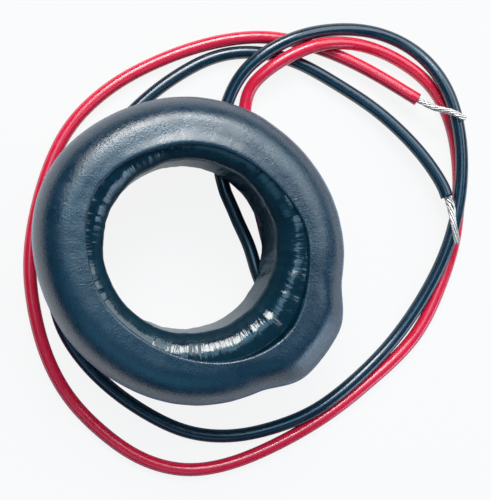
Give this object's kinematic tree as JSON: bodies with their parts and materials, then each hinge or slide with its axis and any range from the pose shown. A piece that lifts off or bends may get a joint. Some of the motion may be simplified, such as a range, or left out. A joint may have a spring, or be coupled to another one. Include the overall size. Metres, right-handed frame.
{
  "type": "ring current transformer",
  "caption": "Toroidal current transformer with a clear round window, a shrunk outer sleeve and two flying leads that loop round it to bare stranded ends.",
  "frame": {"origin": "centre of the window, halfway up the ring", "axes": "+Z along the window's axis, upwards as the ring lies on its leads; +X towards the side where the two leads end"},
  "size_m": [0.0791, 0.0805, 0.0213],
  "materials": {
    "core_strip": "wound strip, satin",
    "cushion_foam": "matt",
    "case_plastic": "moulded, matt",
    "enamelled_wire": "enamelled copper, glossy",
    "polyester_film": "glossy film",
    "glossy_tape": "glossy, pleated round the window",
    "pad_paper": "matt paper",
    "tinned_copper": "bright tinned strands",
    "shrunk_sleeve": "satin, finely grained",
    "black_insulation": "satin",
    "red_insulation": "satin"
  },
  "bodies": {
    "root": {"core": "core_strip", "core_cushion": "cushion_foam", "core_case_cup": "case_plastic", "core_case_lid": "case_plastic", "winding": "enamelled_wire", "start_tail": "enamelled_wire", "finish_tail": "enamelled_wire", "insulating_film": "polyester_film", "tape_wrap": "glossy_tape", "joint_pad": "pad_paper", "black_solder_joint": "tinned_copper", "red_solder_joint": "tinned_copper", "black_joint_sleeve": "shrunk_sleeve", "red_joint_sleeve": "shrunk_sleeve", "black_lead_root": "black_insulation", "red_lead_root": "red_insulation", "outer_sleeve": "shrunk_sleeve", "black_lead": "black_insulation", "red_lead": "red_insulation", "black_lead_bare_end": "tinned_copper", "red_lead_bare_end": "tinned_copper"}
  },
  "joints": []
}
